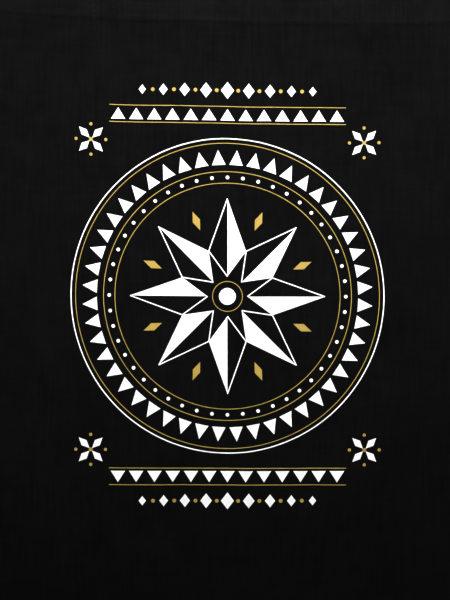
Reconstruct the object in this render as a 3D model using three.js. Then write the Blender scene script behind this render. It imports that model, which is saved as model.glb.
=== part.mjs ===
// A black canvas tote bag that lies on its back, empty, with its mouth a little open.
// Millimetres. +Z is up, +Y runs from the bottom seam to the handles, and the printed front faces up.
// The origin is at floor level, in the middle of the bag and its handles.
import * as THREE from "three";

// Bag
const BAG_WIDTH = 380;
const BAG_HEIGHT = 420;
const CLOTH = 1.2; // wall thickness, with the crimp of the canvas
const GAP = 0.3; // between pieces that touch
const CORNER_RADIUS = 9; // bottom corners

// Front wall, which arches over the back wall
const CROWN = 18; // rise at the middle of the mouth
const CROWN_ACROSS_POWER = 0.8; // under 1 gives rounder shoulders along the side seams
const CROWN_ALONG_POWER = 0.7; // how soon the front rises from the bottom seam
const DRAW_IN = 2; // each side comes in by this much at the mouth
const FOLD_DEPTH = 1.6; // soft folds from the handles towards the bottom corners
const FOLD_WIDTH = 26;

// Top edge, which sags a little between the left corner and a point right of the middle
const HEM_SAG_AT = 80;
const HEM_SAG_CURVE = 1.55e-4; // per millimetre
const HEM_SAG_DEPTH = 2.4;
const BACK_LEAD = 4; // the flat back reaches this much further than the arched front

// Hem facings and seam allowances, all turned to the inside
const FACING = 1.4;
const HEM_DEPTH = 28;
const SEAM_WIDTH = 10;

// Handles
const STRAP_WIDTH = 25;
const STRAP_THICKNESS = 1.8;
const HANDLE_SPREAD = 160; // between the middles of a handle's two ends
const SEWN_LENGTH = 26; // of each end, inside the mouth
const FLAT_RUN = 8; // past the hem before a strap starts to turn
const TURN_RUN = 78; // length over which it turns from flat to standing on its edge
const LEAN = THREE.MathUtils.degToRad(84); // how far it has turned where it stands

// Faces
const PANEL_STEPS_ACROSS = 26;
const PANEL_STEPS_ALONG = 28;
const BACK_STEPS = 12;
const STRAP_STEP = 8;

const HALF_WIDTH = BAG_WIDTH / 2;
const EDGE_HEIGHT = CLOTH + GAP + FACING + GAP; // underside of the front wall at the side seams

const smooth = THREE.MathUtils.smoothstep;

// How far a soft fold lowers the front wall: a long shallow valley from a handle to the bottom corner on its side.
function foldAt(x, y) {
  const side = Math.sign(x) || 1;
  const share = y / BAG_HEIGHT;
  const middle = side * THREE.MathUtils.lerp(HALF_WIDTH - 48, HANDLE_SPREAD / 2 - 18, share);
  const away = (x - middle) / FOLD_WIDTH;
  return FOLD_DEPTH * Math.exp(-away * away) * smooth(share, 0.1, 0.35) * (1 - smooth(share, 0.75, 0.95));
}

// Rise of the front wall above its seams, at a point of the panel.
function crownAt(x, y) {
  const across = Math.max(0, Math.cos((Math.PI * x) / BAG_WIDTH)) ** CROWN_ACROSS_POWER;
  const share = THREE.MathUtils.clamp(y / BAG_HEIGHT, 0, 1);
  const along = Math.sin((Math.PI / 2) * share ** CROWN_ALONG_POWER);
  return CROWN * across * along - foldAt(x, y) * across;
}

function frontUnderside(x, y) {
  return EDGE_HEIGHT + crownAt(x, y);
}

function hemSag(x) {
  return HEM_SAG_CURVE * (x - HEM_SAG_AT) ** 2 - HEM_SAG_DEPTH;
}

// Where a point of the flat cut lies on the floor plan: the sides draw in, the top sags, the bottom corners are round.
function planAt(x, y) {
  const share = THREE.MathUtils.clamp(y / BAG_HEIGHT, 0, 1);
  const intoCorner = Math.max(0, Math.abs(x) - HALF_WIDTH + CORNER_RADIUS) / CORNER_RADIUS;
  const downCorner = Math.max(0, CORNER_RADIUS - y) / CORNER_RADIUS;
  const rounding = CORNER_RADIUS * (1 - Math.SQRT1_2) * intoCorner * downCorner;
  return [
    x * (1 - (DRAW_IN * share) / HALF_WIDTH) - Math.sign(x) * rounding,
    y + hemSag(x) * share ** 2 + rounding,
  ];
}

// A box cut into steps, whose points are then moved: place takes x and y on the piece and z from 0 to 1 through it.
function shapedBox(width, length, stepsAcross, stepsAlong, place) {
  const geometry = new THREE.BoxGeometry(width, length, 1, stepsAcross, stepsAlong, 1);
  const points = geometry.getAttribute("position");
  for (let i = 0; i < points.count; i++) {
    const moved = place(points.getX(i), points.getY(i) + length / 2, points.getZ(i) + 0.5);
    points.setXYZ(i, ...moved);
  }
  geometry.computeVertexNormals();
  return geometry;
}

// A piece of cloth that starts at x, y on the panels and lies from height underside(x, y), thickness deep.
function clothPiece(size, start, steps, underside, thickness) {
  return shapedBox(size[0], size[1], steps[0], steps[1], (x, y, z) => {
    const across = start[0] + x;
    const along = start[1] + y;
    return [...planAt(across, along), underside(across, along) + z * thickness];
  });
}

// Back wall, flat on the floor
function backPanel() {
  return clothPiece([BAG_WIDTH, BAG_HEIGHT + BACK_LEAD], [0, 0], [BACK_STEPS, BACK_STEPS], () => 0, CLOTH);
}

// Front wall
function frontPanel() {
  return clothPiece(
    [BAG_WIDTH, BAG_HEIGHT],
    [0, 0],
    [PANEL_STEPS_ACROSS, PANEL_STEPS_ALONG],
    frontUnderside,
    CLOTH,
  );
}

// Hem facings, between the side seams
const FACING_SIZE = [BAG_WIDTH - 2 * (SEAM_WIDTH + GAP), HEM_DEPTH];

function backHem() {
  const start = [0, BAG_HEIGHT + BACK_LEAD - HEM_DEPTH];
  return clothPiece(FACING_SIZE, start, [BACK_STEPS, 2], () => CLOTH + GAP, FACING);
}

function frontHem() {
  const start = [0, BAG_HEIGHT - HEM_DEPTH];
  const underside = (x, y) => frontUnderside(x, y) - GAP - FACING;
  return clothPiece(FACING_SIZE, start, [PANEL_STEPS_ACROSS, 2], underside, FACING);
}

// Seam allowances, between the two walls along the sides and the bottom
function sideSeam(side) {
  const start = [side * (HALF_WIDTH - SEAM_WIDTH / 2), 0];
  return clothPiece([SEAM_WIDTH, BAG_HEIGHT], start, [2, BACK_STEPS], () => CLOTH + GAP, FACING);
}

function bottomSeam() {
  const width = BAG_WIDTH - 2 * (SEAM_WIDTH + GAP);
  return clothPiece([width, SEAM_WIDTH], [0, 0], [BACK_STEPS, 1], () => CLOTH + GAP, FACING);
}

// A handle is one strap. Its route is given on the floor plan, from its right end round to its left end, and
// sewnHeight gives the height of its middle layer where it is sewn in.
function handle(route, sewnHeight) {
  const plan = new THREE.CatmullRomCurve3(
    route.map(([x, y]) => new THREE.Vector3(x, y, 0)),
    false,
    "centripetal",
  );
  const length = plan.getLength();
  const up = new THREE.Vector3(0, 0, 1);
  return shapedBox(STRAP_WIDTH, length, 2, Math.round(length / STRAP_STEP), (x, y, z) => {
    const share = THREE.MathUtils.clamp(y / length, 0, 1);
    const fromHem = Math.min(y, length - y) - SEWN_LENGTH;
    const turned = LEAN * smooth(fromHem, FLAT_RUN, FLAT_RUN + TURN_RUN);
    const forward = plan.getTangentAt(share);
    const inward = new THREE.Vector3().crossVectors(up, forward);
    const face = up.clone().multiplyScalar(Math.cos(turned)).addScaledVector(inward, Math.sin(turned));
    const across = new THREE.Vector3().crossVectors(forward, face);
    const point = plan.getPointAt(share);
    point.addScaledVector(across, x).addScaledVector(face, (z - 0.5) * STRAP_THICKNESS);
    const resting = (STRAP_WIDTH / 2) * Math.sin(turned) + (STRAP_THICKNESS / 2) * Math.cos(turned);
    const lift = (sewnHeight(point.x, point.y) - STRAP_THICKNESS / 2) * (1 - smooth(fromHem, 0, FLAT_RUN + TURN_RUN));
    point.z += resting + lift;
    return point.toArray();
  });
}

// Half of a loop's route past the hem, as [x, y] from the middle of the mouth; the other half is its mirror image
// apart from a small sideways drift.
function loopRoute(half, drift) {
  const end = [HANDLE_SPREAD / 2, -SEWN_LENGTH];
  const right = [end, [HANDLE_SPREAD / 2, -SEWN_LENGTH / 2], [HANDLE_SPREAD / 2, FLAT_RUN], ...half];
  const left = right
    .slice(0, -1)
    .reverse()
    .map(([x, y]) => [-x, y]);
  return [...right, ...left].map(([x, y]) => [
    x + drift * smooth(y, TURN_RUN / 2, 2 * TURN_RUN),
    y + BAG_HEIGHT + hemSag(x) * (1 - smooth(y, 0, TURN_RUN)),
  ]);
}

const BACK_LOOP = [
  [83, 45],
  [91, 90],
  [97, 140],
  [88, 192],
  [53, 232],
  [0, 246],
];
const FRONT_LOOP = [
  [79, 45],
  [80, 90],
  [85, 138],
  [75, 185],
  [43, 219],
  [0, 230],
];

const onBackHem = () => CLOTH + GAP + FACING + GAP + STRAP_THICKNESS / 2;
const underFrontHem = (x, y) => frontUnderside(x, y) - 2 * GAP - FACING - STRAP_THICKNESS / 2;

const backHandle = () => handle(loopRoute(BACK_LOOP, 5), onBackHem);
const frontHandle = () => handle(loopRoute(FRONT_LOOP, 3), underFrontHem);

// Finishes
const canvas = new THREE.MeshStandardMaterial({ color: 0x161616, roughness: 0.95, metalness: 0 });
const facingCanvas = new THREE.MeshStandardMaterial({ color: 0x131313, roughness: 0.95, metalness: 0 });
const webbing = new THREE.MeshStandardMaterial({ color: 0x1a1a1a, roughness: 0.9, metalness: 0 });

const bag = new THREE.Group();

function add(name, geometry, material) {
  const mesh = new THREE.Mesh(geometry, material);
  mesh.name = name;
  bag.add(mesh);
}

add("back_panel", backPanel(), canvas);
add("front_panel", frontPanel(), canvas);
add("back_hem", backHem(), facingCanvas);
add("front_hem", frontHem(), facingCanvas);
add("right_seam", sideSeam(1), facingCanvas);
add("left_seam", sideSeam(-1), facingCanvas);
add("bottom_seam", bottomSeam(), facingCanvas);
add("back_handle", backHandle(), webbing);
add("front_handle", frontHandle(), webbing);

// The origin goes to the middle of the footprint, at floor level.
const footprint = new THREE.Box3().setFromObject(bag);
const middle = footprint.getCenter(new THREE.Vector3());
bag.position.set(-middle.x, -middle.y, -footprint.min.z);

export default bag;
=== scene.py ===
"""A black canvas tote bag that lies on its back: cloth walls, straps, stitching and a printed star."""

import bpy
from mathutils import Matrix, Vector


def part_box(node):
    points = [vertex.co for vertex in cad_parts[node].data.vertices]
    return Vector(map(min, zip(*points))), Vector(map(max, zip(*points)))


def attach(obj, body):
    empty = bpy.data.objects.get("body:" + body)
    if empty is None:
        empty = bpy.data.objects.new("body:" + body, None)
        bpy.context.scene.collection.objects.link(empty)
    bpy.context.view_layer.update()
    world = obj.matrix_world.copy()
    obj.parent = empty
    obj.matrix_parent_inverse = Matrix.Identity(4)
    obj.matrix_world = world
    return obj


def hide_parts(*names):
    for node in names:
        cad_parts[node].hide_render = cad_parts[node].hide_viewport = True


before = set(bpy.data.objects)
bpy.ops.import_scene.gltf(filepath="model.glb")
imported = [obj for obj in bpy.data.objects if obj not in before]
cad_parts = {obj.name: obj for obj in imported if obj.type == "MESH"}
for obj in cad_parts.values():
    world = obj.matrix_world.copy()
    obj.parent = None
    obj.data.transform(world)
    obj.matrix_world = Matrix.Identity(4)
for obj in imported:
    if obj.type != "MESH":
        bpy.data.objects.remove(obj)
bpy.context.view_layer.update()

import math

import bpy
import numpy as np
from bpy.props import FloatProperty, FloatVectorProperty, IntProperty, PointerProperty
from bpy.types import Operator, Panel, PropertyGroup

bl_info = {
    "name": "Canvas Tote Bag",
    "version": (1, 0, 0),
    "blender": (4, 5, 0),
    "location": "3D View > Sidebar > Tote Bag",
    "description": "Makes the cloth, straps, stitching and print of a tote bag that lies on its back",
    "category": "Add Mesh",
}

BACK_LOW, BACK_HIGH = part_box("back_panel")
FRONT_LOW, FRONT_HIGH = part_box("front_panel")
FOOT = BACK_LOW.y  # where the bottom seam lies
WALL_ROOM = BACK_HIGH.z - BACK_LOW.z  # the room that each wall has in the model
SEAM_HEIGHT = FRONT_LOW.z  # underside of the front wall at the side seams
HANDLE_AT = 0.080  # where the cloth is drawn up by a handle's end, from the bag's middle
BODY = "root"


def length(name, description, default):
    """A size in metres."""
    return FloatProperty(name=name, description=description, default=default, unit="LENGTH", precision=5)


def share(name, description, default):
    """A plain number."""
    return FloatProperty(name=name, description=description, default=default)


def colour(name, description, default):
    """A linear colour."""
    return FloatVectorProperty(
        name=name, description=description, default=default, subtype="COLOR", min=0, max=1
    )


class ToteBagSizes(PropertyGroup):
    """Sizes of the bag's body."""

    width: length("Width", "From side seam to side seam", 0.380)
    height: length("Height", "From the bottom seam to the front's top edge", 0.420)
    cloth: length("Cloth", "Thickness of the canvas", 0.0007)
    crown: length("Crown", "Rise of the front wall at the middle of the mouth", 0.018)
    crown_across: share("Crown across", "Power of the arch from side to side", 0.8)
    crown_along: share("Crown along", "Power of the rise from the bottom seam", 0.7)
    draw_in: length("Draw in", "How far each side comes in at the mouth", 0.002)
    fold_depth: length("Fold depth", "Depth of the long soft folds", 0.0016)
    fold_width: length("Fold width", "Width of the long soft folds", 0.026)
    sag_at: length("Sag at", "Where the top edge is lowest", 0.055)
    sag_curve: share("Sag curve", "Rise of the top edge away from there, per metre", 0.249)
    sag_depth: length("Sag depth", "How far the top edge hangs there", 0.0024)
    back_lead: length("Back lead", "How much further up the back reaches", 0.004)
    corner: length("Corner", "Radius of the bottom corners", 0.009)
    roll: length("Roll", "How far in from a seam the cloth rounds over", 0.0026)
    hem: length("Hem", "Depth of the hem round the mouth", 0.028)
    hem_thickness: length("Hem thickness", "The hem's layers together", 0.0029)
    turn_under: length("Turn under", "Raw edge turned under inside the hem", 0.008)
    hem_stitch: length("Hem stitch", "From the mouth to the hem's stitching", 0.0271)
    seam: length("Seam allowance", "Width of the seam allowances", 0.010)


class ToteHandleSizes(PropertyGroup):
    """Sizes of the straps."""

    width: length("Width", "Width of a strap", 0.025)
    thickness: length("Thickness", "Thickness of a strap", 0.0018)
    spread: length("Spread", "Between the middles of a handle's two ends", 0.160)
    sewn: length("Sewn", "How far each end reaches into the bag", 0.026)
    flat_run: length("Flat run", "Past the hem before a strap starts to turn", 0.008)
    turn_run: length("Turn run", "Length over which it turns onto its edge", 0.078)
    lean: FloatProperty(
        name="Lean",
        description="How far it has turned where it stands",
        default=math.radians(84),
        subtype="ANGLE",
    )
    stitch_inset: length("Stitch inset", "From a strap's edge to its stitching", 0.0028)
    clearance: length("Clearance", "Between a strap and the hem or floor that it lies on", 0.0001)


class ToteStitchSizes(PropertyGroup):
    """Sizes of the sewing."""

    pitch: length("Pitch", "From one stitch to the next", 0.0032)
    stitch: length("Stitch", "Length of a stitch", 0.0026)
    thread: length("Thread", "Width of the thread", 0.00055)


class TotePrintSizes(PropertyGroup):
    """Sizes of the printed design."""

    right: length("Right", "Middle of the print, right of the bag's middle", 0.0016)
    up: length("Up", "Middle of the print above the bottom seam", 0.2135)
    star: length("Star", "From the star's middle to its tips", 0.064)
    waist: length("Waist", "From the star's middle to its notches", 0.0320)
    heart: length("Heart", "From the star's middle to where its points start", 0.0130)
    line: length("Line", "Width of the white lines", 0.00085)
    gold_line: length("Gold line", "Width of the gold lines", 0.00055)
    film: length("Film", "Thickness of the ink", 0.00018)
    teeth: IntProperty(name="Teeth", description="Triangles round the star", default=48)
    dots: IntProperty(name="Dots", description="Dots round the star", default=48)


class ToteFinishes(PropertyGroup):
    """Colours and weave of the finishes."""

    canvas: colour("Canvas", "Colour of the canvas", (0.0060, 0.0060, 0.0060))
    webbing: colour("Webbing", "Colour of the straps", (0.0064, 0.0064, 0.0066))
    thread: colour("Thread", "Colour of the sewing thread", (0.0046, 0.0046, 0.0048))
    white_ink: colour("White ink", "Colour of the white ink", (0.92, 0.92, 0.91))
    gold_ink: colour("Gold ink", "Colour of the golden yellow ink", (0.455, 0.337, 0.098))
    floor: colour("Floor", "Colour of the floor", (0.20, 0.20, 0.20))
    yarn: length("Yarn", "Spacing of the yarns", 0.00080)


class ToteCameraSettings(PropertyGroup):
    """How the bag is looked at."""

    lens: FloatProperty(name="Lens", description="Focal length", default=100.0, subtype="DISTANCE_CAMERA")
    picture_height: length("Picture height", "Height of the part of the bag that the picture shows", 0.390)
    up: length("Up", "Middle of the picture above the bottom seam", 0.2107)


def smooth(value, low, high):
    """0 below low and 1 above high, with the cubic 3t^2 - 2t^3 between them."""
    t = np.clip((value - low) / (high - low), 0, 1)
    return t * t * (3 - 2 * t)


def bump(value, middle, spread):
    """A bell round middle: the exponential of minus the squared distance in spreads."""
    return np.exp(-(((value - middle) / spread) ** 2))


def soft_noise(x, y, seed, span_x, span_y, waves=10):
    """Uneven waves of a usual height of 1: a sum of cosines with seeded directions, speeds and starts,
    whose wavelengths gather round span_x and span_y."""
    draw = np.random.default_rng(seed)
    turns = draw.normal(0, 1, (2, waves))
    starts = draw.uniform(0, 2 * np.pi, waves)
    x, y = np.broadcast_arrays(np.asarray(x, float), np.asarray(y, float))
    turned = x[..., None] * turns[0] / span_x + y[..., None] * turns[1] / span_y
    return np.cos(2 * np.pi * turned + starts).sum(-1) * math.sqrt(2 / waves)


def wandering_waves(along, wave_length, wander):
    """Waves along a line, their phase moved to and fro: the cosine of a turn for each wavelength plus 2.6
    times the wander, a noise."""
    return np.cos(2 * np.pi * along / wave_length + 2.6 * wander)


def sag(x, s):
    """How far the top edge lies above or below its straight line: a parabola, lowest right of the middle."""
    return s.sag_curve * (x - s.sag_at) ** 2 - s.sag_depth


def corner_place(x, y, s):
    """How far into a bottom corner's square a point is, as two shares, bent so that the square becomes a
    quarter disc: each share is scaled by the root of one less half the other's square. Returns, too,
    where the corners are."""
    across = np.clip((np.abs(x) - s.width / 2 + s.corner) / s.corner, 0, 1)
    down = np.clip((s.corner - y) / s.corner, 0, 1)
    return across * np.sqrt(1 - down**2 / 2), down * np.sqrt(1 - across**2 / 2), (across > 0) & (down > 0)


def plan(x, y, s):
    """Where a point of the flat cut lies on the floor plan. The corners are rounded, the sides draw in
    evenly towards the mouth and the top edge's sag fades with the square of the height."""
    across, down, in_corner = corner_place(x, y, s)
    side = np.where(x < 0, -1.0, 1.0)
    inner = s.width / 2 - s.corner
    flat_x = np.where(in_corner, side * (inner + s.corner * across), x)
    flat_y = np.where(in_corner, s.corner * (1 - down), y)
    height = np.clip(y / s.height, 0, 1)
    return flat_x * (1 - 2 * s.draw_in * height / s.width), FOOT + flat_y + sag(x, s) * height**2


def seam_distance(x, y, s):
    """Distance to the nearest side or bottom seam, measured to the arc in the corners."""
    across, down, in_corner = corner_place(x, y, s)
    straight = np.minimum(s.width / 2 - np.abs(x), y)
    return np.maximum(np.where(in_corner, s.corner * (1 - np.hypot(across, down)), straight), 0)


def roll_over(x, y, s):
    """The share of its height that a wall has near a seam: a quarter circle from 0 at the seam to 1 at the
    roll's end."""
    t = np.clip(seam_distance(x, y, s) / s.roll, 0, 1)
    return np.sqrt(1 - (1 - t) ** 2)


def roll_drop(y, s):
    """How far a wall's middle layer comes down to the seam: less at the mouth, where the hem holds it."""
    full, at_mouth, change = 0.00178, 0.00070, 0.014
    return full + (at_mouth - full) * smooth(y, s.height - change, s.height)


def crown(x, y, s):
    """Rise of the front wall: a power of the cosine across, times the sine of a power of the height, less
    two long valleys that run from the handles to the bottom corners."""
    across = np.cos(np.clip(np.pi * x / s.width, -np.pi / 2, np.pi / 2)) ** s.crown_across
    height = np.clip(y / s.height, 0, 1)
    along = np.sin(np.pi / 2 * height**s.crown_along)
    side = np.where(x < 0, -1.0, 1.0)
    at_foot, at_mouth = s.width / 2 - 0.048, HANDLE_AT - 0.018
    away = (x - side * (at_foot + (at_mouth - at_foot) * y / s.height)) / s.fold_width
    ends = smooth(height, 0.1, 0.35) * (1 - smooth(height, 0.75, 0.95))
    fold = s.fold_depth * np.exp(-(away**2)) * ends
    return s.crown * across * along - fold * across


def hem_relief(x, y, top, s, seed):
    """The hem's relief on a wall of height top: its band stands a little proud and tips down to the mouth,
    the stitching pulls a groove, and short waves across the groove fade away from it."""
    proud, pulled, waved, tipped = 0.00050, 0.00030, 0.00040, 0.0011
    fade_below, fade_above = 0.0105, 0.0080
    line = top - s.hem_stitch
    band = smooth(y, line - 0.0010, line + 0.0024)
    groove = bump(y, line, 0.0011)
    uneven = 0.65 + 0.45 * soft_noise(x, 0, seed, 0.05, 1, 6)
    waves = wandering_waves(x, 0.0125, soft_noise(x, 0, seed + 1, 0.045, 1, 6))
    fade = np.exp(-np.abs(y - line) / np.where(y < line, fade_below, fade_above))
    tip = ((y - line) / s.hem_stitch).clip(0, 1) ** 2
    return proud * band - pulled * groove + waved * uneven * waves * fade - tipped * tip


def seam_puckers(x, y, s, seed):
    """Short waves along the side and bottom seams, which fade into the cloth within a couple of
    centimetres and leave the seam itself level."""
    to_side, to_foot = s.width / 2 - np.abs(x), np.maximum(y, 0)
    height, total = 0.00026 * (0.6 + 0.5 * soft_noise(x, y, seed + 2, 0.09, 0.09, 6)), 0
    for along, away, wave_length, reach, wander in (
        (y, to_side, 0.0150, 0.010, soft_noise(x, y, seed, 1.0, 0.07, 6)),
        (x, to_foot, 0.0170, 0.012, soft_noise(x, y, seed + 1, 0.07, 1.0, 6)),
    ):
        fade = np.exp(-away / reach) * smooth(away, 0.0004, 0.003)
        total = total + wandering_waves(along, wave_length, wander) * fade
    return height * total


def corner_creases(x, y, s):
    """Slanting creases that run into each bottom corner: a ridge and a wider, shallower valley beside it,
    which rise out of the corner and fade up the bag."""
    height, ridge, valley, between = 0.0011, 0.0042, 0.0060, 0.0085
    to_side = s.width / 2 - np.abs(x)
    across, along = (to_side - y) / math.sqrt(2), (to_side + y) / math.sqrt(2)
    fade = smooth(along, 0.004, 0.020) * np.exp(-along / 0.038)
    middle = np.where(x < 0, 0.0016, -0.0011)
    return height * fade * (bump(across, middle, ridge) - 0.7 * bump(across, middle + between, valley))


def handle_creases(x, y, s):
    """Soft creases that fan out under each handle's end: waves in the angle round it, fading with
    distance."""
    height, total = 0.00055, 0
    for side, turns, start in ((-1, 7.0, 0.4), (1, 6.2, 1.9)):
        across, down = x - side * HANDLE_AT, s.height - s.hem - y
        reach = np.hypot(across, down)
        angle = np.arctan2(across, np.maximum(down, 1e-4))
        fade = smooth(reach, 0.008, 0.030) * np.exp(-reach / 0.060) * smooth(down, 0.001, 0.014)
        total = total + height * fade * np.cos(turns * angle + start)
    return total


def lie_of_front(x, y, s):
    """How the front wall's cloth lies: long low swells up and down the bag, smaller ones between them and
    the creases of its hem, seams, corners and handles."""
    long_height, short_height = 0.00100, 0.00036
    from_seam = seam_distance(x, y, s)
    swells = long_height * soft_noise(x, y, 11, 0.150, 0.420)
    swells = swells + short_height * soft_noise(x, y, 12, 0.046, 0.150)
    return (
        swells * smooth(from_seam, 0, 0.040)
        + hem_relief(x, y, s.height, s, 21) * smooth(from_seam, -0.008, 0.014)
        + seam_puckers(x, y, s, 31)
        + corner_creases(x, y, s)
        + handle_creases(x, y, s)
    )


def lie_of_back(x, y, s):
    """How the back wall's cloth lifts from the floor: low swells that never go below it, with its hem and
    seams. The hem is held up by the thread that it lies on."""
    swell, hem_share, thread_height = 0.00016, 0.3, 0.00045
    swells = swell * (1 + np.tanh(soft_noise(x, y, 41, 0.090, 0.160)))
    top = s.height + s.back_lead
    line = top - s.hem_stitch
    hem = np.abs(hem_relief(x, y, top, s, 51))
    on_thread = thread_height * smooth(y, line - 0.014, line - 0.001) * roll_over(x, y, s)
    return swells + hem_share * hem + on_thread + np.abs(seam_puckers(x, y, s, 61))


def front_layer(x, y, s):
    """The front wall's middle layer as points: its place on the plan, and as height the crowned wall with
    the lie of its cloth, less the drop where it rolls over to a seam."""
    flat_x, flat_y = plan(x, y, s)
    top = SEAM_HEIGHT + WALL_ROOM - s.cloth / 2 + crown(x, y, s) + lie_of_front(x, y, s)
    return np.stack([flat_x, flat_y, top - roll_drop(y, s) * (1 - roll_over(x, y, s))], -1)


def back_layer(x, y, s):
    """The back wall's middle layer as points: flat on the floor with the lie of its cloth, and rolled up
    to a seam."""
    flat_x, flat_y = plan(x, y, s)
    low = s.cloth / 2 + lie_of_back(x, y, s)
    return np.stack([flat_x, flat_y, low + roll_drop(y, s) * (1 - roll_over(x, y, s))], -1)


def unit(vectors):
    """Vectors scaled to length 1."""
    return vectors / np.linalg.norm(vectors, axis=-1, keepdims=True)


def upward(layer, x, y, s):
    """Normals of a layer: the cross product of its slopes, taken half a millimetre either side."""
    near = 0.0005
    slope_x = layer(x + near, y, s) - layer(x - near, y, s)
    slope_y = layer(x, y + near, s) - layer(x, y - near, s)
    return unit(np.cross(slope_x, slope_y))


def surface(layer, looks, away, s):
    """A function that gives points on a face of a wall and the normals there. away is the face's distance
    from the wall's middle layer, and looks is 1 for a face that looks up and -1 for one that looks down."""

    def at(x, y):
        normals = upward(layer, x, y, s) * looks
        return layer(x, y, s) + normals * away, normals

    return at


def grid_quads(rows, columns, ring=False):
    """Corner numbers of a grid's quads, its points numbered row by row. In a ring the last column meets
    the first."""
    across = np.arange(columns if ring else columns - 1)
    row = np.arange(rows - 1)[:, None] * columns
    here, there = row + across, row + (across + 1) % columns
    return np.stack([here, there, there + columns, here + columns], -1).reshape(-1, 4)


def thick_sheet(middle, half, ring=False):
    """A closed solid round a grid of points: one face lies half a thickness out along the normals and the
    other half a thickness in, and strips close the borders. Returns points and quads."""
    rows, columns = middle.shape[:2]
    if ring:
        around = np.concatenate([middle[:, -1:], middle, middle[:, :1]], 1)
        slope_across = (around[:, 2:] - around[:, :-2]) / 2
    else:
        slope_across = np.gradient(middle, axis=1)
    normals = unit(np.cross(slope_across, np.gradient(middle, axis=0)))
    offset = normals * np.broadcast_to(half, middle.shape[:2])[..., None]
    count = rows * columns
    points = np.concatenate([(middle + offset).reshape(-1, 3), (middle - offset).reshape(-1, 3)])
    top = grid_quads(rows, columns, ring)
    n = np.arange(count).reshape(rows, columns)
    if ring:
        borders = [np.append(n[0], n[0, 0]), np.append(n[-1], n[-1, 0])[::-1]]
    else:
        borders = [np.concatenate([n[0], n[1:, -1], n[-1, -2::-1], n[-2::-1, 0]])]
    sides = [np.stack([b[:-1] + count, b[1:] + count, b[1:], b[:-1]], 1) for b in borders]
    return points, np.concatenate([top, top[:, ::-1] + count, *sides])


def joined(solids):
    """Several solids' points and quads as one."""
    starts = np.cumsum([0] + [len(points) for points, _ in solids[:-1]])
    quads = [quads + start for (_, quads), start in zip(solids, starts)]
    return np.concatenate([points for points, _ in solids]), np.concatenate(quads)


def new_piece(name, points, quads, lie=None, fade=None):
    """A mesh object from arrays. lie is each point's place on the flat cloth, in metres, kept as the UV map
    Cloth, and fade is the painted light and shade at each point, as a factor on the colour, kept as the
    attribute Fade."""
    mesh = bpy.data.meshes.new(name)
    mesh.vertices.add(len(points))
    mesh.vertices.foreach_set("co", points.astype(np.float32).ravel())
    mesh.loops.add(quads.size)
    mesh.loops.foreach_set("vertex_index", quads.astype(np.int32).ravel())
    mesh.polygons.add(len(quads))
    mesh.polygons.foreach_set("loop_start", np.arange(0, quads.size, 4, dtype=np.int32))
    mesh.update(calc_edges=True)
    mesh.polygons.foreach_set("use_smooth", np.ones(len(quads), bool))
    if lie is not None:
        layer = mesh.uv_layers.new(name="Cloth")
        layer.data.foreach_set("uv", lie[quads.ravel()].astype(np.float32).ravel())
        fade = np.ones(len(points)) if fade is None else fade
        # the point attribute of painted light and shade, 1 where none is painted
        tone = mesh.attributes.new("Fade", "FLOAT", "POINT")
        tone.data.foreach_set("value", fade.astype(np.float32))
    mesh.set_sharp_from_angle(angle=math.radians(50))
    if mesh.validate():
        raise RuntimeError(f"{name} has faces that aren't sound")
    piece = bpy.data.objects.new(name, mesh)
    bpy.context.scene.collection.objects.link(piece)
    return piece


def place(piece, material, slot, *nodes):
    """Gives a piece its finish and its body, and hides the nodes that it stands for."""
    piece.data.materials.append(material)
    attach(piece, BODY)
    if nodes:
        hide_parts(*nodes)


def steps(start, end, step):
    """Evenly spaced values from start to end, about a step apart, with the last one left out."""
    count = max(1, round(abs(end - start) / step))
    return np.linspace(start, end, count, endpoint=False)


def mirrored(inset, reach, step):
    """Places from -reach to reach, a step apart in the middle and at the insets from both ends."""
    edge = reach - inset
    half = np.concatenate([steps(0, edge[-1], step), edge[::-1]])
    return np.concatenate([-half[:0:-1], half])


ROLL_INSETS = np.array([0, 0.1, 0.3, 0.6, 1.0, 1.5, 2.1, 2.8, 3.8, 5.2, 7.0]) / 1000  # close to a wall's seam
STRAP_INSETS = np.array([0, 0.15, 0.4, 0.8, 1.3, 1.9, 2.3, 2.8, 3.3, 3.8, 4.6]) / 1000  # close to its edge


def wall_rows(s, top):
    """A wall's rows from the bottom seam up to the mouth, round its fold and down the hem to the edge
    turned under. Returns, for each row, its height, its depth inside the wall, and how far round the fold
    it has gone, from 0 to 1."""
    depth = s.hem_thickness - s.cloth  # between the wall's middle layer and the facing's
    fold = depth / 2
    crest = top - fold - s.cloth / 2
    line, end = top - s.hem_stitch, top - s.hem
    wall = np.concatenate([
        ROLL_INSETS[:-1],
        steps(ROLL_INSETS[-1], line - 0.006, 0.0025),
        steps(line - 0.006, line + 0.006, 0.0008),
        steps(line + 0.006, crest, 0.0022),
    ])
    round_fold, round_edge = np.linspace(0, np.pi, 9), np.linspace(0, np.pi, 6)
    facing, under = steps(crest, end, 0.0024)[1:], steps(end, end + s.turn_under, 0.002)[1:]
    rows = (
        (wall, 0, 0),
        (crest + fold * np.sin(round_fold), fold * (1 - np.cos(round_fold)), round_fold / np.pi),
        (facing, depth, 1),
        (end - fold / 2 * np.sin(round_edge), depth - fold / 2 * (1 - np.cos(round_edge)), 1),
        (under, fold, 1),
    )
    full = [np.broadcast_arrays(*part) for part in rows]
    return [np.concatenate(part) for part in zip(*full)]


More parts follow.
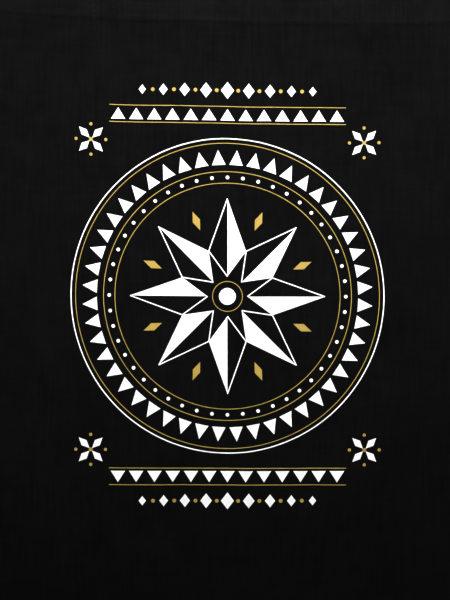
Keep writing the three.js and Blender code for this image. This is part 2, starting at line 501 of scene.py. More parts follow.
def painted_hem_light_and_shade(x, run, top, s):
    """Painted light and shade along a wall's cloth, as a factor on its colour: the hem band is painted
    lighter by about a third, more so left of the middle, a painted highlight runs along the ridge beside its
    stitching, and painted shade makes the groove below a little darker."""
    line = top - s.hem_stitch
    uneven = 1 + 0.25 * soft_noise(x, 0, 91, 0.060, 1, 6)
    # painted light: the hem band lighter, more so left of the middle
    painted_band_light = 0.25 + 0.10 * bump(x, -0.035, 0.055) + 0.07 * soft_noise(x, run, 92, 0.055, 0.090, 6)
    band = painted_band_light * smooth(run, line - 0.0004, line + 0.0010)
    # painted highlight along the ridge above the stitching
    ridge = 0.14 * uneven * bump(run, line + 0.0019, 0.0012)
    # painted shade in the groove below the stitching
    groove = 0.16 * uneven * bump(run, line - 0.0010, 0.0011)
    return 1 + band + ridge - groove


def wall(name, layer, inward, top, s):
    """A wall with its hem as one sheet: the layer at each row and column, with the folded rows moved
    inward by their depth. The depth shrinks towards the side seams and a little along the stitching, and
    the hem's inner layers stop short of the seams."""
    narrower, flatter, pulled = 0.0185, 0.64, 0.16  # shares of the width, and twice of the depth
    across = mirrored(ROLL_INSETS, s.width / 2, 0.0024)
    heights, depths, gone = wall_rows(s, top)
    x = across * (1 - narrower * gone[:, None])
    y = heights[:, None] + 0 * x
    middle = layer(x, y, s)
    thin = 1 - flatter * smooth(np.abs(x), s.width / 2 - 0.018, s.width / 2 - 0.002)
    pinch = 1 - pulled * bump(y, top - s.hem_stitch, 0.002)
    middle[..., 2] += inward * depths[:, None] * thin * pinch
    points, quads = thick_sheet(middle, s.cloth / 2)
    run = np.concatenate([[0], np.cumsum(np.hypot(np.diff(heights), np.diff(depths)))])
    lie = np.stack([x, run[:, None] + 0 * x], -1).reshape(-1, 2)
    # the hem's painted light and shade, as a factor on the wall's colour
    fade = painted_hem_light_and_shade(x, run[:, None], top, s).ravel()
    return new_piece(name, points, quads, np.tile(lie, (2, 1)), np.tile(fade, 2))


def node_chain(tree):
    """A short way to add a node to a tree: its kind, its settings, and its inputs, where an input is a
    socket or a value."""

    def add(kind, inputs=(), **settings):
        node = tree.nodes.new(kind)
        for key, value in settings.items():
            setattr(node, key, value)
        for key, value in dict(inputs).items():
            if isinstance(value, bpy.types.NodeSocket):
                tree.links.new(value, node.inputs[key])
            else:
                node.inputs[key].default_value = value
        return node

    return add


def new_group(name, inputs, output):
    """An empty shader node group. inputs are pairs of a name and a starting value, which is None for a
    vector. Returns what adds a node to it, its input node, and a function that ends it with a result."""
    group = bpy.data.node_groups.new(name, "ShaderNodeTree")
    for label, start in inputs:
        kind = "NodeSocketVector" if start is None else "NodeSocketFloat"
        socket = group.interface.new_socket(label, in_out="INPUT", socket_type=kind)
        if start is not None:
            socket.default_value = start
    group.interface.new_socket(output, in_out="OUTPUT", socket_type="NodeSocketFloat")
    given, result = group.nodes.new("NodeGroupInput"), group.nodes.new("NodeGroupOutput")

    def finished(value):
        group.links.new(value, result.inputs[output])
        return group

    return node_chain(group), given, finished


def maths(add, operation, *values):
    """A Math node's result."""
    return add("ShaderNodeMath", {i: v for i, v in enumerate(values)}, operation=operation).outputs[0]


def weave_group(name):
    """Plain weave. Each yarn is round across and rises and dips along its length, out of step with its
    neighbours, and the higher of the two yarns shows. Spacing is in metres. Height goes from 0 to 1."""
    add, given, finished = new_group(name, [("Place", None), ("Yarn spacing", 0.0008)], "Height")
    parts = add("ShaderNodeSeparateXYZ", {0: given.outputs["Place"]})
    u, v = (maths(add, "DIVIDE", parts.outputs[axis], given.outputs["Yarn spacing"]) for axis in "XY")

    def yarn(across, along, sign):
        round_top = maths(add, "ABSOLUTE", maths(add, "SINE", maths(add, "MULTIPLY", across, math.pi)))
        phase = maths(add, "MULTIPLY", maths(add, "ADD", along, maths(add, "FLOOR", across)), math.pi)
        return maths(add, "MULTIPLY_ADD", maths(add, "SINE", phase), 0.5 * sign, round_top)

    highest = maths(add, "MAXIMUM", yarn(u, v, 1), yarn(v, u, -1))
    return finished(maths(add, "MULTIPLY_ADD", highest, 0.5, 0.25))


def yarn_tone_group(name):
    """Uneven yarns as a tone round 1: thin streaks along the warp, fainter ones along the weft, and soft
    clouds of two sizes."""
    add, given, finished = new_group(name, [("Place", None), ("Streaks", 0.3), ("Clouds", 0.2)], "Tone")

    def noise(waves_x, waves_y, detail):
        place_there = {0: given.outputs["Place"], 1: (waves_x, waves_y, 1.0)}
        scaled = add("ShaderNodeVectorMath", place_there, operation="MULTIPLY").outputs[0]
        settings = {"Vector": scaled, "Scale": 1.0, "Detail": detail, "Roughness": 0.6}
        return maths(add, "SUBTRACT", add("ShaderNodeTexNoise", settings).outputs[0], 0.5)

    warp, weft = noise(620.0, 26.0, 2.0), noise(20.0, 520.0, 1.0)
    wide, narrow = noise(22.0, 17.0, 1.0), noise(85.0, 75.0, 2.0)
    streaks = maths(add, "MULTIPLY_ADD", weft, 0.45, warp)
    clouds = maths(add, "MULTIPLY_ADD", wide, 0.9, narrow)
    tone = maths(add, "MULTIPLY_ADD", streaks, given.outputs["Streaks"], 1.0)
    return finished(maths(add, "MULTIPLY_ADD", clouds, given.outputs["Clouds"], tone))


def wear_group(name):
    """Lint and rubbed high yarns as a mask from 0 to 1: the tops of the weave where a soft noise is high."""
    add, given, finished = new_group(name, [("Place", None), ("Height", 0.5), ("Amount", 0.3)], "Mask")

    def above(value, low, high):
        limits = {"Value": value, "From Min": low, "From Max": high}
        return add("ShaderNodeMapRange", limits, clamp=True).outputs[0]

    settings = {"Vector": given.outputs["Place"], "Scale": 160.0, "Detail": 3.0, "Roughness": 0.65}
    patches = above(add("ShaderNodeTexNoise", settings).outputs[0], 0.50, 0.72)
    tops = above(given.outputs["Height"], 0.45, 0.75)
    return finished(maths(add, "MULTIPLY", maths(add, "MULTIPLY", patches, tops), given.outputs["Amount"]))


def in_group(add, name, inputs):
    """The result of a node of the named group, which is made the first time that it is asked for."""
    makers = {"Plain weave": weave_group, "Yarn tone": yarn_tone_group, "Rubbed tops": wear_group}
    group = bpy.data.node_groups.get(name) or makers[name](name)
    return add("ShaderNodeGroup", inputs, node_tree=group).outputs[0]


def new_material(name, values):
    """A material with a Principled shader whose even values are set on its own sockets."""
    material = bpy.data.materials.new(name)
    material.use_nodes = True
    material.node_tree.nodes.clear()
    add = node_chain(material.node_tree)
    shader = add("ShaderNodeBsdfPrincipled", values)
    add("ShaderNodeOutputMaterial", {"Surface": shader.outputs[0]})
    return material, add, shader


def colour_in(add, shader, tint, shade, height=None, strength=0.0, depth=0.0):
    """Gives a shader its colour, the tint times the shade, and the relief of a height, depth in metres."""
    links = shader.id_data.links
    dyed = add("ShaderNodeVectorMath", {0: tuple(tint), "Scale": shade}, operation="SCALE")
    links.new(dyed.outputs[0], shader.inputs["Base Color"])
    if height is not None:
        relief = add("ShaderNodeBump", {"Height": height, "Strength": strength, "Distance": depth})
        links.new(relief.outputs[0], shader.inputs["Normal"])


def cloth_material(name, tint, yarn, streaks, clouds, depth, lint, shift):
    """Woven black cotton: the weave as bump and as painted shade between the yarns with painted highlight on
    their tops, its yarns' tone times the colour, lint on the tops of the yarns, and the hem's painted light
    and shade. shift moves the pattern, so that two cloths don't match."""
    values = {"Roughness": 0.94, "Specular IOR Level": 0.06, "Sheen Weight": 0.185, "Sheen Roughness": 0.45}
    material, add, shader = new_material(name, values)
    uv = add("ShaderNodeUVMap", uv_map="Cloth").outputs[0]
    moved = {"Vector": uv, "Location": (shift * 0.37, shift * 0.21, 0)}
    where = add("ShaderNodeMapping", moved).outputs[0]
    weave = in_group(add, "Plain weave", {"Place": where, "Yarn spacing": yarn})
    tone = in_group(add, "Yarn tone", {"Place": where, "Streaks": streaks, "Clouds": clouds})
    rubbed = in_group(add, "Rubbed tops", {"Place": where, "Height": weave, "Amount": lint})
    # painted shade between the yarns and painted highlight on their tops: the colour follows the weave's
    # height
    shade = maths(add, "MULTIPLY", maths(add, "MULTIPLY_ADD", weave, 0.5, 0.75), tone)
    shade = maths(add, "ADD", shade, rubbed)
    # times the hem's painted light and shade, kept on the mesh
    shade = maths(add, "MULTIPLY", shade, add("ShaderNodeAttribute", attribute_name="Fade").outputs["Fac"])
    colour_in(add, shader, tint, shade, weave, 0.75, depth)
    return material


def ink_material(name, tint, yarn):
    """Flat printing ink: one colour that sinks a touch between the yarns, with the weave faint under it as
    bump and as painted shade, a touch darker where the yarns are low.
    """
    material, add, shader = new_material(name, {"Roughness": 0.62, "Specular IOR Level": 0.25})
    where = add("ShaderNodeUVMap", uv_map="Cloth").outputs[0]
    weave = in_group(add, "Plain weave", {"Place": where, "Yarn spacing": yarn})
    tone = in_group(add, "Yarn tone", {"Place": where, "Streaks": 0.05, "Clouds": 0.03})
    # painted shade between the yarns: the colour a touch darker where the weave is low
    shade = maths(add, "MULTIPLY", maths(add, "MULTIPLY_ADD", weave, 0.08, 0.94), tone)
    colour_in(add, shader, tint, shade, weave, 0.3, yarn / 10)
    return material


def thread_material(name, tint):
    """Sewing thread: a twisted ply as slanting bands of bump, with an uneven tone."""
    values = {"Roughness": 0.8, "Specular IOR Level": 0.06, "Sheen Weight": 0.12}
    material, add, shader = new_material(name, values)
    where = add("ShaderNodeTexCoord").outputs["Object"]
    bands = {"Vector": where, "Scale": 900.0, "Distortion": 1.5, "Detail": 1.0}
    ply = add("ShaderNodeTexWave", bands, wave_type="BANDS", bands_direction="DIAGONAL").outputs[1]
    patches = add("ShaderNodeTexNoise", {"Vector": where, "Scale": 300.0, "Detail": 1.0}).outputs[0]
    colour_in(add, shader, tint, maths(add, "MULTIPLY_ADD", patches, 0.5, 0.75), ply, 0.5, 0.00008)
    return material


def finish_named(name):
    """The named material, made the first time that it is asked for."""
    looks = bpy.context.scene.tote_finishes
    yarn = looks.yarn
    canvas = {"streaks": 1.05, "clouds": 0.70, "depth": 0.00011, "lint": 0.25, "shift": 1}
    webbing = {"streaks": 0.45, "clouds": 0.15, "depth": 0.00014, "lint": 0.35, "shift": 2}
    makers = {
        "Black canvas": (cloth_material, {"tint": looks.canvas, "yarn": yarn, **canvas}),
        "Black webbing": (cloth_material, {"tint": looks.webbing, "yarn": yarn * 0.9, **webbing}),
        "Black thread": (thread_material, {"tint": looks.thread}),
        "White ink": (ink_material, {"tint": looks.white_ink, "yarn": yarn}),
        "Gold ink": (ink_material, {"tint": looks.gold_ink, "yarn": yarn}),
    }
    make, given = makers[name]
    return bpy.data.materials.get(name) or make(name, **given)


def sewn_wall(name, layer, inward, top, lies_on, *riders):
    """A wall of the bag with its finish, made as one sheet of cloth. lies_on and riders are not used."""
    s = bpy.context.scene.tote_bag
    piece = wall(f"{name}_cloth", layer, inward, top, s)
    place(piece, finish_named("Black canvas"), "canvas", f"{name}_panel", f"{name}_hem")


class TOTE_OT_front_wall(Operator):
    """Make the arched front wall with its hem as one sheet of canvas"""

    bl_idname = "tote.front_wall"
    bl_label = "Front Wall"

    def execute(self, context):
        top = context.scene.tote_bag.height
        riders = ("front_hem_thread", "white_print", "gold_print")
        sewn_wall("front", front_layer, -1, top, "back_cloth", *riders)
        return {"FINISHED"}


class TOTE_OT_back_wall(Operator):
    """Make the back wall, flat on the floor, with its hem as one sheet of canvas"""

    bl_idname = "tote.back_wall"
    bl_label = "Back Wall"

    def execute(self, context):
        s = context.scene.tote_bag
        riders = ("back_hem_thread", "right_allowance", "left_allowance", "bottom_allowance")
        sewn_wall("back", back_layer, 1, s.height + s.back_lead, "floor", *riders)
        return {"FINISHED"}


class TOTE_OT_seams(Operator):
    """Make the seam allowances that lie between the two walls"""

    bl_idname = "tote.seams"
    bl_label = "Seam Allowances"

    def execute(self, context):
        s = context.scene.tote_bag
        room = 0.002  # left at the ends of a strip
        across = np.linspace(0.0024, s.seam, 5)  # from the walls' rolled edge to the raw one
        for side, name in ((1, "right"), (-1, "left")):
            along = np.linspace(s.corner, s.height - s.hem - room, 160)
            x, y = np.meshgrid(side * (s.width / 2 - across), along)
            self.strip(name, s, x, y, s.width / 2 - np.abs(x), soft_noise(0, y, 71 + side, 1, 0.05), across)
        end = s.width / 2 - s.seam - room
        x, y = np.meshgrid(np.linspace(-end, end, 150), across)
        self.strip("bottom", s, x, y, y, soft_noise(x, 0, 75, 0.05, 1), across)
        return {"FINISHED"}

    def strip(self, name, s, x, y, from_seam, wave, across):
        """Two layers of cloth as one thin strip beside a seam, its free edge gently waved."""
        low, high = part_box(f"{name}_seam")
        wave_height, half_layers = 0.00012, s.cloth * 0.85
        waved = (from_seam - across[0]) / (across[-1] - across[0])
        flat_x, flat_y = plan(x, y, s)
        middle = (low.z + high.z) / 2 + wave_height * waved * wave.clip(-1.5, 1.5)
        points, quads = thick_sheet(np.stack([flat_x, flat_y, middle], -1), half_layers)
        lie = np.tile(np.stack([x, y], -1).reshape(-1, 2), (2, 1))
        piece = new_piece(f"{name}_allowance", points, quads, lie)
        place(piece, finish_named("Black canvas"), "facing", f"{name}_seam")


LOOPS = {  # how far each loop drifts sideways, in metres, and half of it, in millimetres past the mouth
    "back": (0.005, ((83, 45), (91, 90), (97, 140), (88, 192), (53, 232), (0, 246))),
    "front": (0.003, ((79, 45), (80, 90), (85, 138), (75, 185), (43, 219), (0, 230))),
}


def smooth_route(points, per_stretch=40):
    """A centripetal Catmull-Rom curve through points: on each stretch a cubic from one point to the next,
    whose slopes come from the neighbours, weighted by the root of the distances between them."""
    p = np.vstack([2 * points[0] - points[1], points, 2 * points[-1] - points[-2]])
    gap = np.sqrt(np.linalg.norm(np.diff(p, axis=0), axis=1))[:, None]
    slope = np.diff(p, axis=0) / gap
    skip = (p[2:] - p[:-2]) / (gap[1:] + gap[:-1])
    leave = (slope[:-2] - skip[:-1] + slope[1:-1]) * gap[1:-1]
    reach = (slope[1:-1] - skip[1:] + slope[2:]) * gap[1:-1]
    start, end = p[1:-2], p[2:-1]
    t = np.linspace(0, 1, per_stretch, endpoint=False)[:, None, None]
    line = start + leave * t + (3 * (end - start) - 2 * leave - reach) * t**2
    line = line + (2 * (start - end) + leave + reach) * t**3
    return np.vstack([line.transpose(1, 0, 2).reshape(-1, points.shape[1]), points[-1:]])


def loop_route(name, s, h):
    """A loop's route on the flat plan, right end to left end. Its half is given past the mouth, the other
    half is the mirror image, and both drift a little sideways and follow the sag of the top edge where
    they leave the bag."""
    drift, outside = LOOPS[name]
    end = h.spread / 2
    inside = [(end, -h.sewn), (end, -h.sewn / 2), (end, h.flat_run)]
    half = inside + [(x / 1000, y / 1000) for x, y in outside]
    x, y = np.array(half + [(-x, y) for x, y in half[-2::-1]]).T
    moved = x + drift * smooth(y, h.turn_run / 2, 2 * h.turn_run)
    return np.stack([moved, y + s.height + sag(x, s) * (1 - smooth(y, 0, h.turn_run))], 1)


def strap(name, s, h):
    """A handle's strap: a function that gives points on it and its normals, and its whole length. It
    leaves the bag flat and turns onto its edge. Its height is what it needs to rest on the floor, and
    near the mouth it goes over to what it needs to lie against its wall's hem."""
    dense = smooth_route(loop_route(name, s, h))
    run = np.concatenate([[0], np.cumsum(np.linalg.norm(np.diff(dense, axis=0), axis=1))])
    whole = run[-1]

    def sewn_height(x, y):
        """Height of the strap's middle layer against its wall's hem, and on from there as at the mouth."""
        away = s.hem_thickness - s.cloth / 2 + h.clearance + h.thickness / 2
        x, y = x / (1 - 2 * s.draw_in / s.width), y - sag(x, s)
        if name == "back":
            return back_layer(x, y, s)[..., 2] + away
        return front_layer(x, np.minimum(y, s.height), s)[..., 2] - away

    def on_route(along):
        return [np.interp(along, run, dense[:, axis]) for axis in (0, 1)]

    def at(along, across, lift):
        """Points on the strap and the normals there: across and lift are measured from its middle line."""
        along = np.asarray(along, float)
        near = 0.0005
        x, y = on_route(along)
        ahead, behind = on_route(np.clip(along + near, 0, whole)), on_route(np.clip(along - near, 0, whole))
        forward = unit(np.stack([ahead[0] - behind[0], ahead[1] - behind[1], 0 * x], -1))
        inward = np.cross([0, 0, 1.0], forward)
        from_hem = np.minimum(along, whole - along) - h.sewn
        turned = h.lean * smooth(from_hem, h.flat_run, h.flat_run + h.turn_run)
        face = np.cos(turned)[..., None] * np.array([0, 0, 1.0]) + np.sin(turned)[..., None] * inward
        sideways = np.cross(forward, face)
        loose, wave_height = smooth(from_hem, 0.01, 0.05), 0.0006
        wave = wave_height * loose * soft_noise(along, across * 0.5, 81 + len(name), 0.11, 0.06, 7)
        point = np.stack([x, y, 0 * x], -1) + sideways * across[..., None] + face * (lift + wave)[..., None]
        rests = h.width / 2 * np.sin(turned) + h.thickness / 2 * np.cos(turned) + h.clearance
        sewn = sewn_height(point[..., 0], point[..., 1]) - h.thickness / 2
        point[..., 1] += FOOT
        point[..., 2] += rests + sewn * (1 - smooth(from_hem, 0, h.flat_run + h.turn_run))
        return point, face

    return at, whole


def strap_half_thickness(across, h):
    """Half a strap's thickness across it: full in the middle, thinner along the two rows of stitching and
    rounded off at the edges."""
    edge_share, pinch, round_width = 0.30, 0.26, 0.0011
    edge = np.clip((h.width / 2 - np.abs(across)) / round_width, 0, 1)
    rounded = edge_share + (1 - edge_share) * np.sqrt(1 - (1 - edge) ** 2)
    pinched = 1 - pinch * bump(np.abs(across), h.width / 2 - h.stitch_inset, 0.0007)
    return h.thickness / 2 * rounded * pinched


class TOTE_OT_handles(Operator):
    """Make the two shoulder straps, sewn in at the mouth and looped on the floor"""

    bl_idname = "tote.handles"
    bl_label = "Handles"

    def execute(self, context):
        s, h = context.scene.tote_bag, context.scene.tote_handles
        across = mirrored(STRAP_INSETS, h.width / 2, 0.0017)
        for name in LOOPS:
            at, whole = strap(name, s, h)
            along = np.linspace(0, whole, 330)
            grid_across, grid_along = np.meshgrid(across, along)
            middle, _ = at(grid_along, grid_across, 0 * grid_across)
            points, quads = thick_sheet(middle, strap_half_thickness(grid_across, h))
            lie = np.stack([grid_across, grid_along], -1).reshape(-1, 2)
            piece = new_piece(f"{name}_strap", points, quads, np.tile(lie, (2, 1)))
            place(piece, finish_named("Black webbing"), "webbing", f"{name}_handle")
        return {"FINISHED"}


STITCH_ALONG = np.array([-0.5, -0.34, 0.0, 0.34, 0.5])  # shares of a stitch's length
STITCH_GIRTH = np.array([0.45, 0.92, 1.0, 0.92, 0.45])  # shares of the thread's width
STITCH_RISE = np.array([-0.45, 0.10, 0.34, 0.10, -0.45])  # in thread widths, above the cloth


def sewn_stitches(middles, directions, normals, st):
    """One closed stitch at each middle: a square bar in five stations, thin and sunk at both ends and
    raised between."""
    sideways = unit(np.cross(normals, directions))
    ahead = np.cross(sideways, normals)
    corners = np.array([(1, 0), (0, 1), (-1, 0), (0, -1)]) * st.thread / 2
    spine = (
        middles[:, None]
        + ahead[:, None] * (STITCH_ALONG * st.stitch)[None, :, None]
        + normals[:, None] * (STITCH_RISE * st.thread)[None, :, None]
    )
    girth, flatness = STITCH_GIRTH[None, :, None, None], 0.8
    points = (
        spine[:, :, None]
        + girth * sideways[:, None, None] * corners[None, None, :, :1]
        + girth * flatness * normals[:, None, None] * corners[None, None, :, 1:]
    )
    stations, around = len(STITCH_ALONG), len(corners)
    first = np.arange(around)
    last = first + (stations - 1) * around
    one = np.concatenate([grid_quads(stations, around, ring=True), [first[::-1], last]])
    starts = np.arange(len(middles))[:, None, None] * stations * around
    return points.reshape(-1, 3), (one + starts).reshape(-1, 4)


def stitches_along(at, places, step, outward, st):
    """Stitches at places of a function that gives points and normals. A step either way from each place
    gives their direction, and outward is -1 where they lie against the normals."""
    middles, normals = at(*places)
    ahead, _ = at(*(place + move for place, move in zip(places, step)))
    behind, _ = at(*(place - move for place, move in zip(places, step)))
    return sewn_stitches(middles, unit(ahead - behind), normals * outward, st)


def stitch_line(at, start, end, st):
    """Stitches on a surface along a straight line of its flat coordinates, from start to end."""
    start, end = np.array(start, float), np.array(end, float)
    run = np.linalg.norm(end - start)
    count = max(1, int(run / st.pitch))
    way = (np.arange(count)[:, None] + 0.5) / count
    return stitches_along(at, (start + (end - start) * way).T, (end - start) / run * 0.0004, 1, st)


def crossed_box(at, x, low, high, half_width, st):
    """The stitching that holds a handle's end: a box with both its diagonals."""
    left, right = x - half_width, x + half_width
    a, b, c, d = (left, low), (right, low), (right, high), (left, high)
    return [stitch_line(at, *ends, st) for ends in ((a, b), (b, c), (c, d), (d, a), (a, c), (b, d))]


class TOTE_OT_stitching(Operator):
    """Make the thread: the hem's rows, the crossed boxes at the handle ends and the rows along the straps"""

    bl_idname = "tote.stitching"
    bl_label = "Stitching"

    def execute(self, context):
        scene = context.scene
        s, h, st = scene.tote_bag, scene.tote_handles, scene.tote_stitches
        outer_room, inner_room, box_room = 0.0015, 0.0065, (0.002, 0.005)  # left beside the stitching
        side, inner_side = s.width / 2 - outer_room, s.width / 2 - inner_room
        half_box = h.width / 2 - h.stitch_inset
        for name, layer, outward, top in (
            ("front", front_layer, 1, s.height),
            ("back", back_layer, -1, s.height + s.back_lead),
        ):
            outer = surface(layer, outward, s.cloth / 2, s)
            inner = surface(layer, -outward, s.hem_thickness - s.cloth / 2, s)
            line, low, high = top - s.hem_stitch, top - h.sewn + box_room[0], top - box_room[1]
            rows = [stitch_line(outer, (-side, line), (side, line), st)]
            rows.append(stitch_line(inner, (-inner_side, line), (inner_side, line), st))
            for x in (-h.spread / 2, h.spread / 2):
                rows += crossed_box(outer, x, low, high, half_box, st)
            self.add(f"{name}_hem_thread", rows)
            self.add(f"{name}_strap_thread", self.strap_rows(name, s, h, st))
        return {"FINISHED"}

    def strap_rows(self, name, s, h, st):
        """Two rows on each face of a strap, all along it."""
        at, whole = strap(name, s, h)
        count = int(whole / st.pitch)
        along = (np.arange(count) + 0.5) * whole / count
        rows = []
        for side in (-1, 1):
            across = np.full(count, side * (h.width / 2 - h.stitch_inset))
            for face in (-1, 1):
                places = (along, across, face * strap_half_thickness(across, h))
                rows.append(stitches_along(at, places, (0.0004, 0, 0), face, st))
        return rows

    def add(self, name, rows):
        """One piece of thread from all its rows."""
        points, quads = joined(rows)
        place(new_piece(name, points, quads), finish_named("Black thread"), "thread")


SHAPE_STEP = 0.0016  # between the points of a printed shape


def polar(radius, angle):
    """A flat point at a distance and an angle."""
    return np.array([math.cos(angle), math.sin(angle)]) * radius


def patch(a, b, c, d):
    """A four-sided shape as a grid of flat points: straight blends between sides a-b and d-c."""
    a, b, c, d = (np.array(p, float) for p in (a, b, c, d))
    columns = 2 + int(max(np.linalg.norm(b - a), np.linalg.norm(c - d)) / SHAPE_STEP)
    rows = 2 + int(max(np.linalg.norm(d - a), np.linalg.norm(c - b)) / SHAPE_STEP)
    u = np.linspace(0, 1, columns)[None, :, None]
    v = np.linspace(0, 1, rows)[:, None, None]
    return (a * (1 - u) + b * u) * (1 - v) + (d * (1 - u) + c * u) * v


def bar(start, end, width):
    """A straight line with square ends."""
    start, end = np.array(start, float), np.array(end, float)
    along = (end - start) / np.linalg.norm(end - start)
    side = np.array([-along[1], along[0]]) * width / 2
    return patch(start - side, end - side, end + side, start + side)


def triangle(a, b, tip):
    """A triangle on the side a-b, its tip blunted as ink blunts it."""
    a, b, tip = (np.array(p, float) for p in (a, b, tip))
    blunt = (b - a) / np.linalg.norm(b - a) * 0.00012
    return patch(a, b, tip + blunt, tip - blunt)


def lozenge(middle, half_width, half_length, angle=math.pi / 2):
    """A diamond whose long way points along an angle, or straight up."""
    along, side = polar(half_length, angle), polar(half_width, angle + math.pi / 2)
    middle = np.array(middle)
    return patch(middle - side, middle - along, middle + side, middle + along)


def disc(middle, radius):
    """A dot: a square grid bent into a circle, each share scaled by the root of one less half the other's
    square."""
    u, v = np.meshgrid(*[np.linspace(-1, 1, 5)] * 2)
    round_grid = np.stack([u * np.sqrt(1 - v**2 / 2), v * np.sqrt(1 - u**2 / 2)], -1)
    return np.array(middle) + radius * round_grid


def circle_line(radius, width):
    """A circle drawn as a line round the print's middle: its angle runs along the columns, from start to
    start again, and its radius along the rows."""
    angle = np.linspace(0, 2 * np.pi, 1 + int(2 * np.pi * radius / SHAPE_STEP))
    radii = radius + np.array([width / 2, 0, -width / 2])[:, None]
    return radii[..., None] * np.stack([np.cos(angle), np.sin(angle)], -1)


def star_shapes(p):
    """An eight-pointed quilt star. Each point is split along its middle into a solid half and an outlined
    one, and a gold diamond stands in each notch."""
    white, gold = [], []
    eighth = math.pi / 4
    for i in range(8):
        at, notch = i * eighth, (i + 0.5) * eighth
        heart, tip = polar(p.heart, at), polar(p.star, at)
        right, left = polar(p.waist, notch - eighth), polar(p.waist, notch)
        white.append(triangle(heart, right, tip))
        white.append(bar(tip, left, p.line))
        white.append(bar(left, heart, p.line))
        gold.append(lozenge(polar(p.star * 0.83, notch), 0.0026, 0.0066, notch))
    return white, gold


def ring_shapes(p):
    """The rings round the star: thin gold lines, a row of white dots and a row of white teeth that point
    outwards."""
    gold_circles, white_circle, hub = (0.0098, 0.0740, 0.0815, 0.1000), 0.1030, 0.0056
    dot_circle, dot = 0.07775, 0.00125
    tooth_foot, tooth_tip, tooth_share = 0.0860, 0.0955, 0.80
    gold = [circle_line(radius, p.gold_line) for radius in gold_circles]
    white = [circle_line(white_circle, p.line), disc((0, 0), hub)]
    for i in range(p.dots):
        white.append(disc(polar(dot_circle, 2 * math.pi * i / p.dots), dot))
    for i in range(p.teeth):
        at, half = 2 * math.pi * (i + 0.5) / p.teeth, math.pi / p.teeth * tooth_share
        right, left = polar(tooth_foot, at - half), polar(tooth_foot, at + half)
        white.append(triangle(right, left, polar(tooth_tip, at)))
    return white, gold


def border_shapes(p, way):
    """The band above or below the star: triangles between gold lines, with a row of diamonds and dots
    towards the edge of the print. way is 1 above and -1 below."""
    low, high, edge = 0.1130 * way, 0.1240 * way, 0.1345 * way
    reach, count = 0.0780, 13
    room, gap = 0.0018 * way, 0.0012  # above and below a triangle, and beside it
    spacing, largest, shrink, slimness, dot = 0.0140, 0.0056, 0.0006, 0.78, 0.0013
    white, gold = [], [bar((-reach, y), (reach, y), p.gold_line) for y in (low, high)]
    pitch = 2 * reach / count
    for i in range(count):
        left = -reach + pitch * i
        foot = (left + gap, low + room), (left + pitch - gap, low + room)
        white.append(triangle(*foot, (left + pitch / 2, high - room)))
    for i in range(-4, 5):
        x, size = i * spacing, largest - shrink * abs(i)
        white.append(lozenge((x, edge), size * slimness, size))
        if i < 4:
            gold.append(disc((x + spacing / 2, edge), dot))
    return white, gold


def corner_shapes():
    """A small four-petalled flower in each corner of the print."""
    across, up, petal_at, dot_at, dot, heart = 0.0900, 0.1010, 0.0062, 0.0098, 0.0011, 0.0013
    white, gold = [], []
    for x in (-across, across):
        for y in (-up, up):
            for quarter in range(4):
                at = math.pi / 4 + quarter * math.pi / 2
                white.append(lozenge((x, y) + polar(petal_at, at), 0.0024, 0.0050, at))
                gold.append(disc((x, y) + polar(dot_at, at + math.pi / 4), dot))
            gold.append(disc((x, y), heart))
    return white, gold


class TOTE_OT_print(Operator):
    """Make the printed star, its rings, borders and corner flowers as thin films of ink on the front"""

    bl_idname = "tote.print"
    bl_label = "Print"

    def execute(self, context):
        p = context.scene.tote_print
        borders = [border_shapes(p, way) for way in (1, -1)]
        parts = [star_shapes(p), ring_shapes(p), *borders, corner_shapes()]
        for name, which, finish in (("white_print", 0, "White ink"), ("gold_print", 1, "Gold ink")):
            shapes = [shape for part in parts for shape in part[which]]
            self.film(name, shapes, finish, context.scene)
        return {"FINISHED"}

    def film(self, name, shapes, finish, scene):
        """Each flat shape laid on the front's outer face and given the ink's thickness, a third of it in
        the cloth."""
        s, p = scene.tote_bag, scene.tote_print
        on_front = surface(front_layer, 1, s.cloth / 2 + p.film / 6, s)
        solids, lies = [], []
        for shape in shapes:
            ring = np.allclose(shape[:, 0], shape[:, -1])
            flat = (shape[:, :-1] if ring else shape) + (p.right, p.up)
            middle, _ = on_front(flat[..., 0], flat[..., 1])
            solids.append(thick_sheet(middle, p.film / 2, ring))
            lies.append(np.tile(flat.reshape(-1, 2), (2, 1)))
        piece = new_piece(name, *joined(solids), np.concatenate(lies))
        place(piece, finish_named(finish), finish.lower().replace(" ", "_"))


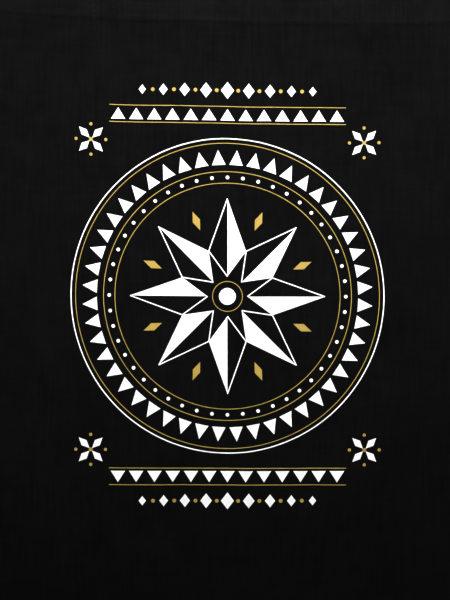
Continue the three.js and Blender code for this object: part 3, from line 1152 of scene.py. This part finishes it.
class TOTE_OT_stage(Operator):
    """Make the pale floor, the soft studio light and the camera that looks straight down"""

    bl_idname = "tote.stage"
    bl_label = "Stage"

    def execute(self, context):
        self.floor(context.scene)
        self.lights(context.scene)
        self.camera(context.scene)
        return {"FINISHED"}

    def floor(self, scene):
        """A wide plane with a soft uneven tone."""
        half = 12.0
        points = np.array([(-half, -half, 0), (half, -half, 0), (half, half, 0), (-half, half, 0)], float)
        piece = new_piece("floor", points, np.array([[0, 1, 2, 3]]))
        glow = {"Emission Color": (1, 1, 1, 1), "Emission Strength": 0.55}
        values = {"Roughness": 0.8, "Specular IOR Level": 0.2, **glow}
        material, add, shader = new_material("Pale floor", values)
        where = add("ShaderNodeTexCoord").outputs["Object"]
        patches = add("ShaderNodeTexNoise", {"Vector": where, "Scale": 6.0, "Detail": 3.0}).outputs[0]
        colour_in(add, shader, scene.tote_finishes.floor, maths(add, "MULTIPLY_ADD", patches, 0.06, 0.97))
        piece.data.materials.append(material)

    def lights(self, scene):
        """A wide soft box past the mouth, a weaker one from the right, and an even dim sky."""
        for soft_box in (
            ("Key", (0.0, 0.26, 0.60), (0.0, 0.01, 0.0), (0.80, 0.30), 90, 3.65),
            ("Side", (0.95, 0.35, 0.50), (0.0, 0.00, 0.0), (0.50, 0.50), 180, 2.05),
        ):
            self.soft_box(scene, *soft_box)
        world = bpy.data.worlds.new("Studio")
        world.use_nodes = True
        add = node_chain(world.node_tree)
        sky = world.node_tree.nodes["Background"]
        sky.inputs["Color"].default_value = (1, 1, 1, 1)
        seen = add("ShaderNodeLightPath").outputs["Is Camera Ray"]
        dim, brighter_seen = 0.02, 0.54
        strength = maths(add, "MULTIPLY_ADD", seen, brighter_seen, dim)
        world.node_tree.links.new(strength, sky.inputs["Strength"])
        scene.world = world
        scene.view_settings.view_transform = "Standard"
        scene.view_settings.gamma = 0.75

    def soft_box(self, scene, name, where, towards, size, spread, power):
        """An area light at a place, pointed at another. Its size is in metres, its spread in degrees and its
        power in watts."""
        data = bpy.data.lights.new(name, "AREA")
        data.spread = math.radians(spread)
        data.shape, data.energy = "RECTANGLE", power
        data.size, data.size_y = size
        light = bpy.data.objects.new(name, data)
        light.location = where
        aim = np.array(towards) - np.array(where)
        light.rotation_euler = Vector(aim).to_track_quat("-Z", "Y").to_euler()
        scene.collection.objects.link(light)

    def camera(self, scene):
        """A long lens straight above. Its distance gives the picture its height on the front wall."""
        view = scene.tote_camera
        data = bpy.data.cameras.new("Camera")
        data.lens = view.lens
        camera = bpy.data.objects.new("Camera", data)
        distance = view.picture_height * view.lens / data.sensor_width
        camera.location = (0, FOOT + view.up, FRONT_HIGH.z + distance)
        scene.collection.objects.link(camera)
        scene.camera = camera


class TOTE_PT_sidebar(Panel):
    """The bag's pieces and sizes in the 3D view's sidebar"""

    bl_label = "Tote Bag"
    bl_idname = "TOTE_PT_sidebar"
    bl_space_type = "VIEW_3D"
    bl_region_type = "UI"
    bl_category = "Tote Bag"

    def draw(self, context):
        for operator in OPERATORS:
            self.layout.operator(operator.bl_idname)
        for name in GROUPS:
            box = self.layout.box()
            group = getattr(context.scene, name)
            for field in group.bl_rna.properties.keys():
                if field not in ("rna_type", "name"):
                    box.prop(group, field)


OPERATORS = (
    TOTE_OT_stage,
    TOTE_OT_seams,
    TOTE_OT_handles,
    TOTE_OT_stitching,
    TOTE_OT_print,
    TOTE_OT_back_wall,
    TOTE_OT_front_wall,
)
GROUPS = {
    "tote_bag": ToteBagSizes,
    "tote_handles": ToteHandleSizes,
    "tote_stitches": ToteStitchSizes,
    "tote_print": TotePrintSizes,
    "tote_finishes": ToteFinishes,
    "tote_camera": ToteCameraSettings,
}


def register():
    """Registers the settings, operators and panel."""
    for name, group in GROUPS.items():
        bpy.utils.register_class(group)
        setattr(bpy.types.Scene, name, PointerProperty(type=group))
    for cls in (*OPERATORS, TOTE_PT_sidebar):
        bpy.utils.register_class(cls)


def unregister():
    """Takes them away again."""
    for cls in (TOTE_PT_sidebar, *reversed(OPERATORS)):
        bpy.utils.unregister_class(cls)
    for name, group in GROUPS.items():
        delattr(bpy.types.Scene, name)
        bpy.utils.unregister_class(group)


def main():
    """Makes every piece."""
    register()
    for operator in OPERATORS:
        name = operator.bl_idname.split(".")[1]
        getattr(bpy.ops.tote, name)()


if __name__ == "__main__":
    main()
